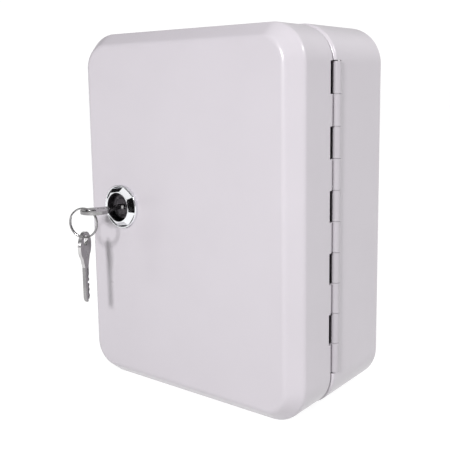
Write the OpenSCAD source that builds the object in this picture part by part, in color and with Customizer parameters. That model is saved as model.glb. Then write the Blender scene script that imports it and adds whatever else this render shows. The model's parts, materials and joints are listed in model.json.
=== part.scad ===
// Wall key cabinet: two drawn sheet-steel pans joined by a continuous hinge, with a cam lock,
// hook bars inside, a key in the lock and a spare key on a split ring.
// Row frame: X to the right seen from the front, -Y towards the user, +Z up, and the origin
// at the middle of the wall fixing pattern, on the back face.
// Every sub-part is drawn in a front view, with x right, y up and z forward from the wall,
// and stand() turns it into the row frame.

/* [Cabinet] */
// Overall width
cabinet_w = 148; // [140:1:170]
// Overall height
cabinet_h = 200; // [196:1:230]
// Depth from the wall to the face of the door
cabinet_d = 86; // [84:1:96]
// Radius of the four corners in front view
corner_r = 20; // [16:1:24]
// Thickness of the steel sheet
sheet_t = 1; // [0.8:0.1:1.2]
// Outer bend radius where the back meets the sides
back_bend_r = 2.5; // [1.5:0.5:4]
// Outer bend radius of both rims at the seam
rim_bend_r = 1.8; // [1.4:0.1:2]
// Width of the body's return flange at its mouth
body_flange_w = 6; // [4:0.5:6]

/* [Door] */
// Depth of the door pan, from its rim to its face
door_depth = 34.4; // [33:0.1:36]
// Width of the bevel round the face, in front view
bevel_w = 7; // [5:0.5:9]
// Depth of the bevel
bevel_depth = 8.5; // [6:0.5:10]
// Outer bend radius on both edges of the bevel
bevel_bend_r = 4; // [2:0.5:5]
// How far the door stands inside the body's outline
door_inset = 0.6; // [0.3:0.1:1]
// Gap between the two rims
seam_gap = 0.6; // [0.4:0.1:0.8]
// Width of the door's return flange
door_flange_w = 4; // [3:0.5:4]

/* [Hinge] */
// Number of knuckles, shared in turn by the two leaves
knuckle_count = 10; // [8:2:12]
// Length from one knuckle to the next
knuckle_pitch = 16; // [12:0.5:16]
// Outer radius of the barrel
barrel_r = 2.4; // [2.2:0.1:2.6]
// Radius of the hinge pin
pin_r = 1.25; // [1:0.05:1.4]
// Thickness of the hinge leaves
leaf_t = 0.9; // [0.7:0.1:1]
// Height of the hinge's middle above the cabinet's middle
hinge_rise = 1; // [0:1:2]

/* [Lock] */
// Distance of the lock's axis from the cabinet's left side
lock_from_left = 32.3; // [31:0.1:36]
// Height of the lock's axis above the cabinet's middle
lock_rise = 3.5; // [0:0.5:8]
// Radius of the chromed bezel
bezel_r = 12.15; // [11.5:0.05:12.5]
// Number of flat facets on the bezel
facet_count = 8; // [6:1:10]
// Radius of the threaded barrel
thread_r = 9.3; // [9:0.1:9.5]
// Length of the barrel behind the door's face
thread_len = 20; // [19:0.5:21]
// Length of the cam from the lock's axis to its tip
cam_len = 22; // [20:0.5:22]

/* [Keys] */
// Overall length of a key
key_len = 39; // [38:0.5:40]
// Thickness of a key
key_t = 1.8; // [1.6:0.1:1.8]
// Radius of a key's round bow
bow_r = 7.8; // [7.6:0.1:8]
// Width of a key's blade
blade_w = 5.8; // [5:0.1:5.8]
// Outer radius of the split ring
ring_r = 8.4; // [8.3:0.1:8.6]
// Turn of the ring and the spare key about the vertical
ring_turn = 22; // [18:1:24]

/* [Hooks] */
// Hooks on each bar
hooks_per_bar = 5; // [4:1:5]
// Distance between hooks along a bar
hook_pitch = 26; // [22:1:27]
// How far a hook reaches in front of its bar
hook_reach = 11; // [9:0.5:12]
// Height of the turned-up end of a hook
hook_rise = 7; // [6:0.5:8]

/* [Hidden] */

$fn = 64;
eps = 0.01;
bend_steps = 6;

paint = [0.83, 0.81, 0.83];
bare_steel = [0.72, 0.72, 0.74];
bright_chrome = [0.85, 0.85, 0.87];
dark_steel = [0.3, 0.3, 0.32];
wafer_brass = [0.78, 0.62, 0.3];
card_white = [0.95, 0.95, 0.92];

// Seam and shells
body_rim_z = cabinet_d - door_depth - seam_gap;
door_rim_z = cabinet_d - door_depth;
door_r = corner_r - door_inset;
door_w = cabinet_w - 2 * door_inset;
door_h = cabinet_h - 2 * door_inset;
wall_hole_r = 3.25;
wall_hole_x = 50;
wall_hole_y = 84;

// Hinge, whose barrel lies in a slot cut back into the body's right side
hinge_len = knuckle_count * knuckle_pitch;
hinge_bottom = hinge_rise - hinge_len / 2;
hinge_x = cabinet_w / 2 - 1.1;
hinge_z = door_rim_z - barrel_r - 1.3;
barrel_gap = 0.3;
knuckle_gap = 0.2;
slot_end_gap = 0.4;
slot_depth_x = 14;
body_edge_z = hinge_z - barrel_r - barrel_gap;
leaf_w = 11;
pin_clearance = 0.07;

// Lock, measured forward from the wall
lock_x = lock_from_left - cabinet_w / 2;
head_h = 4.3;
head_ring_r = 8.2;
recess_r = 7.3;
flat_half = 8;
door_hole_gap = 0.15;
plug_r = 6.5;
plug_clearance = 0.06;
plug_face_z = cabinet_d + 0.8;
plug_flange_h = 1.5;
plug_flange_r = recess_r - 0.1;
barrel_end_z = cabinet_d - thread_len;
star_washer_t = 0.6;
nut_t = 4;
nut_flats = 24;
tail_half = 3;
stop_t = 1;
cam_t = 2;
cam_w = 12;
stop_z = barrel_end_z - 0.1 - stop_t;
cam_z = stop_z - cam_t;
screw_r = 1.75;
screw_head_r = 4.4;
screw_head_h = 2.6;
keyway_t = key_t + 0.5;
keyway_w = blade_w + 0.6;
wafer_count = 4;
wafer_pitch = 2.2;
wafer_t = 0.8;
wafer_first_z = plug_face_z - 9.8;

// Catch, which stands forward from the body's left flange into the door pan
catch_x = body_flange_w + 1.8 - cabinet_w / 2;
catch_t = 1.2;
catch_h = 30;
catch_lip = 10;
catch_front_z = cam_z + cam_t + 1.2 + catch_t;

// Keys and ring
bow_hole_r = 2.9;
bow_hole_at = 4.8;
taper_end = 19.5;
tip_len = 2.5;
hole_z = cabinet_d + 23.7;
bow_tip_z = hole_z + bow_hole_at;
wire_t = 1.1;
wire_w = 1.9;
wire_edge_r = 0.5;
ring_gap = 0.35;
ring_in_r = ring_r - wire_t;
ring_mid_r = ring_r - wire_t / 2;
ring_back = 4.44;
ring_x = lock_x - ring_back * cos(ring_turn);
ring_y = lock_rise + key_t / 2 + ring_gap - ring_in_r;
ring_z = hole_z + ring_back * sin(ring_turn);
spare_hole_y = ring_y - ring_mid_r + 1.15 - bow_hole_r;

// Hook bars
bar_w = 2 * 66;
bar_h = 15;
bar_t = 1.2;
bar_top_y = 66;
bar_pitch = 42;
hook_w = 4;
hook_drop = 4;
rivet_r = 1.6;
rivet_head_r = 3;
rivet_x = bar_w / 2 - 4;
strip_h = 5;
strip_t = 0.2;
card_w = 80;
card_h = 120;
card_t = 0.3;

// ---- Helpers ----

// Front view into the row frame
module stand() {
    rotate([90, 0, 0]) children();
}

function unit(v) = v / norm(v);
function left_of(v) = [-v[1], v[0]];

// Where a path moved sideways by t turns at its point i
function moved(path, i, t) =
    let (last = len(path) - 1,
        a = i > 0 ? left_of(unit(path[i] - path[i - 1])) : left_of(unit(path[1] - path[0])),
        b = i < last ? left_of(unit(path[i + 1] - path[i])) : a)
    path[i] + (a + b) * t / (1 + a * b);
function moved_path(path, t) = [for (i = [0 : len(path) - 1]) moved(path, i, t)];

// Points of the arc of radius r that replaces corner b between a and c
function bend(a, b, c, r) =
    let (u = unit(a - b), v = unit(c - b),
        half = acos(u * v) / 2,
        middle = b + unit(u + v) * r / sin(half),
        from = b + u * r / tan(half) - middle,
        to = b + v * r / tan(half) - middle,
        start = atan2(from[1], from[0]),
        turn = atan2(from[0] * to[1] - from[1] * to[0], from * to))
    [for (k = [0 : bend_steps])
        middle + r * [cos(start + turn * k / bend_steps), sin(start + turn * k / bend_steps)]];
function bent_path(path, radii) =
    let (last = len(path) - 1)
    [path[0],
        for (i = [1 : last - 1]) each bend(path[i - 1], path[i], path[i + 1], radii[i - 1]),
        path[last]];
function reversed(list) = [for (i = [len(list) - 1 : -1 : 0]) list[i]];

// Section through a bent sheet: its outer path, its bend radii and its thickness
module sheet_section(path, radii, t) {
    inner = moved_path(path, t);
    inner_radii = [for (r = radii) r - t];
    polygon(concat(bent_path(path, radii), reversed(bent_path(inner, inner_radii))));
}

// Pan whose section, drawn from a corner's axis outwards, runs round a rounded rectangle
module pan(w, h, r, path, radii, panel_z) {
    dx = w / 2 - r;
    dy = h / 2 - r;
    for (corner = [[dx, dy, 0], [-dx, dy, 90], [-dx, -dy, 180], [dx, -dy, 270]]) {
        translate([corner[0], corner[1], 0])
            rotate(corner[2])
                rotate_extrude(angle = 90) sheet_section(path, radii, sheet_t);
    }
    for (side = [[dx, -dy, 0, 2 * dy], [dx, dy, 90, 2 * dx],
            [-dx, dy, 180, 2 * dy], [-dx, -dy, 270, 2 * dx]]) {
        translate([side[0], side[1], 0])
            rotate([90, 0, side[2]])
                mirror([0, 0, 1])
                    linear_extrude(side[3]) sheet_section(path, radii, sheet_t);
    }
    translate([-dx, -dy, panel_z]) cube([2 * dx, 2 * dy, sheet_t]);
}

// Box over the hinge's length, from x inwards and from z_low to z_high
module hinge_slot(x_high, z_low, z_high) {
    translate([x_high - slot_depth_x, hinge_bottom - slot_end_gap, z_low])
        cube([slot_depth_x, hinge_len + 2 * slot_end_gap, z_high - z_low]);
}

// Circle of the lock barrel with its two flats
module flatted_circle(r, half) {
    intersection() {
        circle(r);
        square([3 * r, 2 * half], center = true);
    }
}

// ---- Shells ----

module body_shell() {
    path = [[0, 0], [corner_r, 0], [corner_r, body_rim_z],
        [corner_r - body_flange_w, body_rim_z]];
    color(paint) stand() difference() {
        pan(cabinet_w, cabinet_h, corner_r, path, [back_bend_r, rim_bend_r], 0);
        hinge_slot(cabinet_w / 2 + 1, body_edge_z, body_rim_z + 1);
        for (x = [-wall_hole_x, wall_hole_x], y = [-wall_hole_y, wall_hole_y]) {
            translate([x, y, -1]) cylinder(r = wall_hole_r, h = sheet_t + 2);
        }
        rivet_places() translate([0, 0, -1]) cylinder(r = rivet_r, h = sheet_t + 2);
    }
}

module door_shell() {
    path = [[door_r - door_flange_w, door_rim_z], [door_r, door_rim_z],
        [door_r, cabinet_d - bevel_depth], [door_r - bevel_w, cabinet_d], [0, cabinet_d]];
    color(paint) stand() difference() {
        pan(door_w, door_h, door_r, path, [rim_bend_r, bevel_bend_r, bevel_bend_r],
            cabinet_d - sheet_t);
        hinge_slot(door_w / 2 - sheet_t, door_rim_z - 1, door_rim_z + rim_bend_r + 0.2);
        translate([lock_x, lock_rise, cabinet_d - sheet_t - 1])
            linear_extrude(sheet_t + 2)
                flatted_circle(thread_r + door_hole_gap, flat_half + door_hole_gap);
    }
}

// ---- Hinge ----

// Leaf flat against a wall, whose webs reach every second knuckle from the first one
module hinge_leaf(first, x_low, z_low, z_high, bore_r) {
    web_low = min(z_low, hinge_z);
    web_high = max(z_high, hinge_z);
    difference() {
        union() {
            translate([x_low, hinge_bottom, z_low])
                cube([leaf_t, hinge_len, z_high - z_low]);
            for (i = [first : 2 : knuckle_count - 1]) {
                translate([0, hinge_bottom + i * knuckle_pitch + knuckle_gap / 2, 0]) {
                    translate([hinge_x, 0, hinge_z])
                        rotate([-90, 0, 0])
                            cylinder(r = barrel_r, h = knuckle_pitch - knuckle_gap);
                    translate([x_low, 0, web_low])
                        cube([leaf_t, knuckle_pitch - knuckle_gap, web_high - web_low]);
                }
            }
        }
        translate([hinge_x, hinge_bottom - 1, hinge_z])
            rotate([-90, 0, 0]) cylinder(r = bore_r, h = hinge_len + 2);
    }
}

module hinge_leaf_body() {
    color(paint) stand()
        hinge_leaf(1, cabinet_w / 2 - sheet_t - leaf_t, body_edge_z - leaf_w, body_edge_z,
            pin_r);
}

module hinge_leaf_door() {
    color(paint) stand()
        hinge_leaf(0, door_w / 2 - sheet_t - leaf_t, door_rim_z, door_rim_z + leaf_w,
            pin_r + pin_clearance);
}

module hinge_pin() {
    color(bare_steel) stand()
        translate([hinge_x, hinge_bottom, hinge_z])
            rotate([-90, 0, 0]) cylinder(r = pin_r, h = hinge_len);
}

// ---- Lock ----

// Chromed head with flat facets on a round rim, and the flatted barrel behind it
module lock_housing() {
    facet_low_r = bezel_r - 0.55;
    facet_low_z = 1;
    lean = atan((facet_low_r - head_ring_r) / (head_h - facet_low_z));
    color(bright_chrome) stand() translate([lock_x, lock_rise, 0]) difference() {
        union() {
            difference() {
                translate([0, 0, cabinet_d]) cylinder(r = bezel_r, h = head_h);
                for (k = [0 : facet_count - 1]) {
                    rotate((k + 0.5) * 360 / facet_count)
                        translate([facet_low_r, 0, cabinet_d + facet_low_z])
                            rotate([0, -lean, 0])
                                translate([0, -20, -30]) cube([20, 40, 60]);
                }
            }
            translate([0, 0, barrel_end_z])
                linear_extrude(thread_len + eps) flatted_circle(thread_r, flat_half);
        }
        translate([0, 0, barrel_end_z - 1])
            cylinder(r = plug_r + plug_clearance, h = thread_len + head_h + 2);
        translate([0, 0, plug_face_z - plug_flange_h])
            cylinder(r = recess_r, h = head_h + plug_flange_h);
    }
}

module lock_washer() {
    color(bare_steel) stand()
        translate([lock_x, lock_rise, cabinet_d - sheet_t - star_washer_t]) difference() {
            cylinder(r = thread_r + 3, h = star_washer_t);
            translate([0, 0, -1]) cylinder(r = thread_r + 0.1, h = star_washer_t + 2);
        }
}

module lock_nut() {
    color(bare_steel) stand()
        translate([lock_x, lock_rise, cabinet_d - sheet_t - star_washer_t - nut_t])
            difference() {
                cylinder(r = nut_flats / 2 / cos(30), h = nut_t, $fn = 6);
                translate([0, 0, -1]) cylinder(r = thread_r + 0.05, h = nut_t + 2);
            }
}

// Plug that turns in the housing, with its keyway flat and a square tail behind
module lock_plug() {
    color(dark_steel) stand() translate([lock_x, lock_rise, 0]) difference() {
        union() {
            translate([0, 0, barrel_end_z])
                cylinder(r = plug_r, h = plug_face_z - barrel_end_z);
            translate([0, 0, plug_face_z - plug_flange_h + 0.1])
                cylinder(r = plug_flange_r, h = plug_flange_h - 0.1);
            translate([-tail_half, -tail_half, cam_z + 0.1])
                cube([2 * tail_half, 2 * tail_half, barrel_end_z - cam_z]);
        }
        translate([-keyway_w / 2, -keyway_t / 2, bow_tip_z - key_len - 0.7])
            cube([keyway_w, keyway_t, key_len]);
        for (k = [0 : wafer_count - 1]) {
            translate([0, 0, wafer_first_z + k * wafer_pitch])
                cube([3 * plug_r, 5.3, wafer_t + 0.2], center = true);
        }
        translate([0, 0, cam_z - 1]) cylinder(r = screw_r, h = 10);
    }
}

module lock_wafers() {
    color(wafer_brass) stand() translate([lock_x, lock_rise, 0])
        for (k = [0 : wafer_count - 1]) {
            translate([0, 0, wafer_first_z + k * wafer_pitch - wafer_t / 2])
                linear_extrude(wafer_t) difference() {
                    square([11.8, 5], center = true);
                    square([keyway_w + 0.1, keyway_t + 0.2], center = true);
                }
        }
}

module stop_washer() {
    color(bare_steel) stand() translate([lock_x, lock_rise, stop_z])
        linear_extrude(stop_t) difference() {
            union() {
                circle(8);
                translate([0, -3]) square([10, 6]);
            }
            square(2 * tail_half + 0.1, center = true);
        }
}

// Flat cam that points up when the door is free and to the left when it is locked
module lock_cam() {
    color(bare_steel) stand() translate([lock_x, lock_rise, cam_z])
        linear_extrude(cam_t) difference() {
            union() {
                circle(cam_w / 2 + 1.5);
                translate([-cam_w / 2, 0]) square([cam_w, cam_len - cam_w / 2]);
                translate([0, cam_len - cam_w / 2]) circle(cam_w / 2);
            }
            square(2 * tail_half + 0.1, center = true);
        }
}

module cam_screw() {
    color(bare_steel) stand() translate([lock_x, lock_rise, 0]) difference() {
        union() {
            translate([0, 0, cam_z - screw_head_h])
                cylinder(r = screw_head_r, h = screw_head_h);
            translate([0, 0, cam_z - eps]) cylinder(r = screw_r - 0.05, h = 8);
        }
        for (turn = [0, 90]) {
            rotate(turn)
                translate([-2.6, -0.5, cam_z - screw_head_h - 1]) cube([5.2, 1, 2.2]);
        }
    }
}

// Bracket welded behind the left flange; its lip stops the cam
module lock_catch() {
    color(bare_steel) stand()
        translate([0, lock_rise + catch_h / 2, 0])
            rotate([90, 0, 0])
                linear_extrude(catch_h)
                    polygon([
                        [-cabinet_w / 2 + 2, body_rim_z - sheet_t],
                        [-cabinet_w / 2 + 2, body_rim_z - sheet_t - catch_t],
                        [catch_x, body_rim_z - sheet_t - catch_t],
                        [catch_x, catch_front_z - catch_t],
                        [catch_x + catch_lip, catch_front_z - catch_t],
                        [catch_x + catch_lip, catch_front_z],
                        [catch_x - catch_t, catch_front_z],
                        [catch_x - catch_t, body_rim_z - sheet_t]]);
}

// ---- Inside ----

// Places of the two rivets on each bar
module rivet_places() {
    for (row = [0 : 3], x = [-rivet_x, rivet_x]) {
        translate([x, bar_top_y - row * bar_pitch, 0]) children();
    }
}

// Stamped bar: each hook is a tongue bent forward out of its own window and turned up
module hook_bar(row) {
    hook_path = [[sheet_t + bar_t + hook_reach, hook_rise - hook_drop],
        [sheet_t + bar_t + hook_reach, -hook_drop - bar_t],
        [sheet_t, -hook_drop - bar_t]];
    color(paint) stand() translate([0, bar_top_y - row * bar_pitch, 0]) {
        difference() {
            translate([-bar_w / 2, -bar_h / 2, sheet_t]) cube([bar_w, bar_h, bar_t]);
            for (x = [-rivet_x, rivet_x]) {
                translate([x, 0, 0]) cylinder(r = rivet_r, h = 4);
            }
            hook_places()
                translate([-hook_w / 2 - 0.6, -hook_drop, 0])
                    cube([hook_w + 1.2, 6, 4]);
        }
        hook_places()
            rotate([0, -90, 0])
                translate([0, 0, -hook_w / 2])
                    linear_extrude(hook_w) sheet_section(hook_path, [2], bar_t);
    }
}

module hook_places() {
    for (k = [0 : hooks_per_bar - 1]) {
        translate([(k - (hooks_per_bar - 1) / 2) * hook_pitch, 0, 0]) children();
    }
}

module bar_rivets() {
    color(bare_steel) stand() rivet_places() {
        cylinder(r = rivet_r, h = sheet_t + bar_t);
        translate([0, 0, sheet_t + bar_t]) cylinder(r = rivet_head_r, h = 0.9);
    }
}

// Printed strip along the top of each bar
module number_strips() {
    color(card_white) stand()
        for (row = [0 : 3]) {
            translate([-rivet_x + 5, bar_top_y - row * bar_pitch + bar_h / 2 - strip_h - 0.2,
                sheet_t + bar_t])
                cube([2 * rivet_x - 10, strip_h, strip_t]);
        }
}

// Index card stuck to the inside of the door's face
module index_card() {
    color(card_white) stand()
        translate([-18, -card_h / 2, cabinet_d - sheet_t - card_t])
            cube([card_w, card_h, card_t]);
}

// ---- Keys ----

// Flat key along x from its bow's tip to its blade's tip, its thickness about z = 0
module flat_key() {
    half = blade_w / 2;
    difference() {
        linear_extrude(key_t, center = true) difference() {
            union() {
                translate([bow_r, 0]) circle(bow_r);
                polygon([[bow_r, -bow_r + 0.35], [taper_end, -half], [key_len - tip_len, -half],
                    [key_len, -0.9], [key_len, 0.5], [key_len - tip_len, half],
                    [taper_end, half], [bow_r, bow_r - 0.35]]);
            }
            translate([bow_hole_at, 0]) circle(bow_hole_r);
            for (cut = [[25.5, 0.9], [28.4, 1.3], [31.3, 0.7], [34.2, 1.1]]) {
                translate([cut[0], half])
                    polygon([[-1.2, 0.2], [-0.4, -cut[1]], [0.4, -cut[1]], [1.2, 0.2]]);
            }
        }
        for (side = [1, -1]) {
            translate([taper_end + 1, side * 0.8 - 0.5, side > 0 ? key_t / 2 - 0.4 : -key_t])
                cube([key_len, 1, key_t / 2 + 0.4]);
        }
    }
}

module key_in_lock() {
    color(bare_steel) stand()
        translate([lock_x, lock_rise, bow_tip_z])
            rotate([0, 90, 0]) rotate([90, 0, 0]) flat_key();
}

// Split ring of two turns side by side
module key_ring() {
    color(bare_steel) stand()
        translate([ring_x, ring_y, ring_z])
            rotate([0, ring_turn, 0])
                rotate_extrude() translate([ring_mid_r, 0]) rounded_wire();
}

module rounded_wire() {
    square([wire_t, wire_w - 2 * wire_edge_r], center = true);
    square([wire_t - 2 * wire_edge_r, wire_w], center = true);
    for (sx = [-1, 1], sy = [-1, 1]) {
        translate([sx * (wire_t / 2 - wire_edge_r), sy * (wire_w / 2 - wire_edge_r)])
            circle(wire_edge_r);
    }
}

module spare_key() {
    color(bare_steel) stand()
        translate([ring_x, spare_hole_y + bow_hole_at, ring_z])
            rotate([0, 90 + ring_turn, 0]) rotate([0, 0, -90]) flat_key();
}

body_shell();
door_shell();
hinge_leaf_body();
hinge_leaf_door();
hinge_pin();
lock_housing();
lock_washer();
lock_nut();
lock_plug();
lock_wafers();
stop_washer();
lock_cam();
cam_screw();
lock_catch();
hook_bar(0);  // hook_bar_1
hook_bar(1);  // hook_bar_2
hook_bar(2);  // hook_bar_3
hook_bar(3);  // hook_bar_4
bar_rivets();
number_strips();
index_card();
key_in_lock();
key_ring();
spare_key();
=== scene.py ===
"""Looks of the wall key cabinet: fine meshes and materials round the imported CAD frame.

Shapes are drawn as the CAD source draws them: in a front view, in millimetres, with x to the
right, y up and z forward from the wall. place() turns a finished mesh into the row frame.
"""

import json
import math

import bmesh
import bpy
from mathutils import Matrix, Vector


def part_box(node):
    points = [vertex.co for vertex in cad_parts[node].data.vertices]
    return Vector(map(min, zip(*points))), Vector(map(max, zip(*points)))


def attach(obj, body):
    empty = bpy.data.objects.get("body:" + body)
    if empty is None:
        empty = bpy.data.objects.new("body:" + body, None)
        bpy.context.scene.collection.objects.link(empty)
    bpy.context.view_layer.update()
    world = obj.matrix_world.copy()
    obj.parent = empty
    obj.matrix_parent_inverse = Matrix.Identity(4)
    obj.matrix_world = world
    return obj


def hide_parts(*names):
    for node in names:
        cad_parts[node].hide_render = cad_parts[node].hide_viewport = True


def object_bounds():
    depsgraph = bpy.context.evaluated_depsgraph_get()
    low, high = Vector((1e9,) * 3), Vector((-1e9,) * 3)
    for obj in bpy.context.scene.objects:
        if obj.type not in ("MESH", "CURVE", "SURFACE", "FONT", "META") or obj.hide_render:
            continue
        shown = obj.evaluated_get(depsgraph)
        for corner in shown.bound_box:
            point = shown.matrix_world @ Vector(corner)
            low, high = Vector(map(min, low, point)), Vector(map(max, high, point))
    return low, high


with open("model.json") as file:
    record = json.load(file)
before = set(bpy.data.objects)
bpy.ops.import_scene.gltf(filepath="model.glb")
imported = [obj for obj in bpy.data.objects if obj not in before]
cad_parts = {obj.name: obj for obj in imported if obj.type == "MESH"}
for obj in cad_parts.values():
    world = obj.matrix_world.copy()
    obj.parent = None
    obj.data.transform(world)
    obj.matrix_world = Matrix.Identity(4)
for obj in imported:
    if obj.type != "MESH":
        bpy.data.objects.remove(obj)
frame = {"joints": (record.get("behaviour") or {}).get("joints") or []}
cad_low, cad_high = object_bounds()

# Front view in millimetres into the row frame in metres
STAND = Matrix.Rotation(math.radians(90), 4, "X") @ Matrix.Scale(0.001, 4)
FROM_ROW = STAND.inverted()


def box_mm(node):
    """Lowest and highest corner of a CAD node in the front view."""
    corners = [FROM_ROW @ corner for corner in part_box(node)]
    low = Vector([min(c[k] for c in corners) for k in range(3)])
    high = Vector([max(c[k] for c in corners) for k in range(3)])
    return low, high


# ---- Dimensions in millimetres ----

SHEET = 1.0
CORNER_R = 20.0
CORNER_STEPS = 24
BEND_STEPS = 10
BODY_BENDS = [2.5, 1.8]
BODY_FLANGE = 6.0
DOOR_BENDS = [4.0, 4.0, 1.8]
DOOR_FLANGE = 4.0
BEVEL_W = 7.0
BEVEL_DEPTH = 8.5
WALL_HOLE_X = 50.0
WALL_HOLE_Y = 84.0
WALL_HOLE_R = 3.25

body_low, body_high = box_mm("body_shell")
door_low, door_high = box_mm("door_shell")
cabinet_w = body_high.x - body_low.x
cabinet_h = body_high.y - body_low.y
body_rim = body_high.z
door_w = door_high.x - door_low.x
door_h = door_high.y - door_low.y
door_rim = door_low.z
face_z = door_high.z
door_r = CORNER_R - (cabinet_w - door_w) / 2

# Hinge
KNUCKLES = 10
BARREL_R = 2.4
LEAF_T = 0.9
LEAF_BEHIND = 11.0
LEAF_NOTCH = 3.4
LEAF_BORE_GAP = 0.07
KNUCKLE_GAP = 0.2
NOTCH_GAP = 0.1
hinge_low, hinge_high = box_mm("hinge_pin")
hinge_x = (hinge_low.x + hinge_high.x) / 2
hinge_z = (hinge_low.z + hinge_high.z) / 2
hinge_len = hinge_high.y - hinge_low.y
hinge_bottom = hinge_low.y
pin_r = (hinge_high.x - hinge_low.x) / 2
knuckle_pitch = hinge_len / KNUCKLES
SLOT_X = 14.0
SLOT_END = 0.4
body_edge = box_mm("hinge_leaf_body")[0].z + LEAF_BEHIND
# How far the door is cut back along the hinge, from its rim towards its face
DOOR_FLANGE_CUT = 2.0
DOOR_EDGE_CUT = 0.8
DOOR_NOTCH = 3.2

# Lock
lock_low, lock_high = box_mm("lock_housing")
lock_x = (lock_low.x + lock_high.x) / 2
lock_y = (lock_low.y + lock_high.y) / 2
bezel_r = (lock_high.x - lock_low.x) / 2
barrel_end = lock_low.z
head_top = lock_high.z
HEAD_STEPS = 128
FACETS = 8
FACET_TURN = 9.0
BEAD_IN_R = bezel_r - 0.8
BEAD_H = 2.0
HEAD_RING_R = 8.45
RECESS_R = 8.0
FLANGE_R = 7.2
FLANGE_H = 1.4
THREAD_R = 9.3
FLAT_HALF = 8.0
DOOR_HOLE_GAP = 0.15
THREAD_PITCH = 1.5
THREAD_DEPTH = 0.45
NUT_FLATS = 24.0
PLUG_R = 6.5
PLUG_BORE_R = 6.56
TAIL_HALF = 3.0
plug_low, plug_high = box_mm("lock_plug")
plug_face = plug_high.z
recess_floor = plug_face - 1.5
KEYWAY = (6.4, 2.3)
WAFERS = 4
WAFER_FIRST = 9.8
WAFER_PITCH = 2.2
wafer_middles = [plug_face - WAFER_FIRST + WAFER_PITCH * k for k in range(WAFERS)]

# Keys
KEY_T = 1.8
BOW_R = 7.8
BOW_HOLE_R = 2.9
BOW_HOLE_AT = 4.8
TAPER_END = 19.5
KEY_LEN = 39.0
BLADE_HALF = 2.5
TIP_LEN = 2.5
CUTS = [(25.5, 0.9), (28.4, 1.3), (31.3, 0.7), (34.2, 1.1)]
bow_tip = box_mm("key_in_lock")[1].z

joints = {joint["name"]: joint for joint in frame["joints"]}
ring_centre = FROM_ROW @ Vector(joints["ring_swing"]["pos_m"])
spare_high = box_mm("spare_key")[1]
RING_TURN = 22.0
SPARE_TWIST = 6.0
RING_R = 8.4
WIRE_T = 0.9
WIRE_W = 1.5

# Hook bars
HOOKS = 5
HOOK_PITCH = 26.0
HOOK_W = 4.0
BAR_T = 1.2
hook_places = [(k - (HOOKS - 1) / 2) * HOOK_PITCH for k in range(HOOKS)]
HOOK_Z = 13.2
HOOK_TOP = 3.0
HOOK_BOTTOM = -5.2
RIVET_R = 1.6
RIVET_X = 62.0
bars = [box_mm(f"hook_bar_{row + 1}") for row in range(4)]


# ---- Mesh helpers ----


def arc(cx, cy, r, start, end, steps):
    """Points of an arc, angles in degrees."""
    angles = [math.radians(start + (end - start) * k / steps) for k in range(steps + 1)]
    return [(cx + r * math.cos(a), cy + r * math.sin(a)) for a in angles]


def circle(cx, cy, r, steps=64):
    """Points of a circle, the first one to the right."""
    return arc(cx, cy, r, 0, 360, steps)[:-1]


def rounded_rect(x0, y0, x1, y1, r, steps=6):
    """Points of a rectangle with rounded corners."""
    corners = [(x1 - r, y1 - r, 0), (x0 + r, y1 - r, 90), (x0 + r, y0 + r, 180), (x1 - r, y0 + r, 270)]
    return [p for cx, cy, a in corners for p in arc(cx, cy, r, a, a + 90, steps)]


def moved_path(path, t):
    """The path moved sideways by t, to its left."""
    points = [Vector(p) for p in path]
    lefts = [(b - a).normalized() for a, b in zip(points, points[1:])]
    lefts = [Vector((-v.y, v.x)) for v in lefts]
    before = [lefts[0]] + lefts
    after = lefts + [lefts[-1]]
    return [p + (a + b) * t / (1 + a.dot(b)) for p, a, b in zip(points, before, after)]


def bent(path, radii, steps=BEND_STEPS):
    """The path with each inner corner replaced by an arc."""
    points = [Vector(p) for p in path]
    out = [points[0]]
    for a, b, c, r in zip(points, points[1:], points[2:], radii):
        u = (a - b).normalized()
        v = (c - b).normalized()
        half = u.angle(v) / 2
        middle = b + (u + v).normalized() * (r / math.sin(half))
        start = b + u * (r / math.tan(half)) - middle
        end = b + v * (r / math.tan(half)) - middle
        turn = math.atan2(start.x * end.y - start.y * end.x, start.dot(end))
        out += [middle + Matrix.Rotation(turn * k / steps, 2) @ start for k in range(steps + 1)]
    return out + [points[-1]]


def piece_from(bm, name):
    """A new object from a bmesh, with its normals outward."""
    bmesh.ops.remove_doubles(bm, verts=bm.verts, dist=1e-5)
    bmesh.ops.recalc_face_normals(bm, faces=bm.faces)
    mesh = bpy.data.meshes.new(name)
    bm.to_mesh(mesh)
    bm.free()
    piece = bpy.data.objects.new(name, mesh)
    bpy.context.scene.collection.objects.link(piece)
    return piece


def settle(piece):
    """Applies the piece's modifiers."""
    graph = bpy.context.evaluated_depsgraph_get()
    done = bpy.data.meshes.new_from_object(piece.evaluated_get(graph), depsgraph=graph)
    piece.modifiers.clear()
    piece.data = done


def combine(piece, others, operation="DIFFERENCE"):
    """Cuts the other pieces out of piece, or joins them to it, and removes them."""
    for other in others:
        modifier = piece.modifiers.new("combine", "BOOLEAN")
        modifier.operation = operation
        modifier.solver = "EXACT"
        modifier.object = other
    settle(piece)
    for other in others:
        bpy.data.objects.remove(other)
    return piece


def prism(name, outline, holes, z0, z1):
    """Solid between z0 and z1 over an outline with holes, all in the front view."""
    bm = bmesh.new()
    edges = []
    for loop in [outline, *holes]:
        verts = [bm.verts.new((x, y, z0)) for x, y in loop]
        edges += [bm.edges.new((a, b)) for a, b in zip(verts, verts[1:] + verts[:1])]
    if holes:
        bmesh.ops.triangle_fill(bm, edges=edges, use_beauty=True, use_dissolve=True)
    else:
        bm.faces.new(bm.verts)
    made = bmesh.ops.extrude_face_region(bm, geom=bm.faces[:])
    moved = [item for item in made["geom"] if isinstance(item, bmesh.types.BMVert)]
    bmesh.ops.translate(bm, verts=moved, vec=(0, 0, z1 - z0))
    return piece_from(bm, name)


def block(x0, y0, z0, x1, y1, z1):
    """Box between two corners."""
    return prism("block", [(x0, y0), (x1, y0), (x1, y1), (x0, y1)], [], z0, z1)


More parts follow.
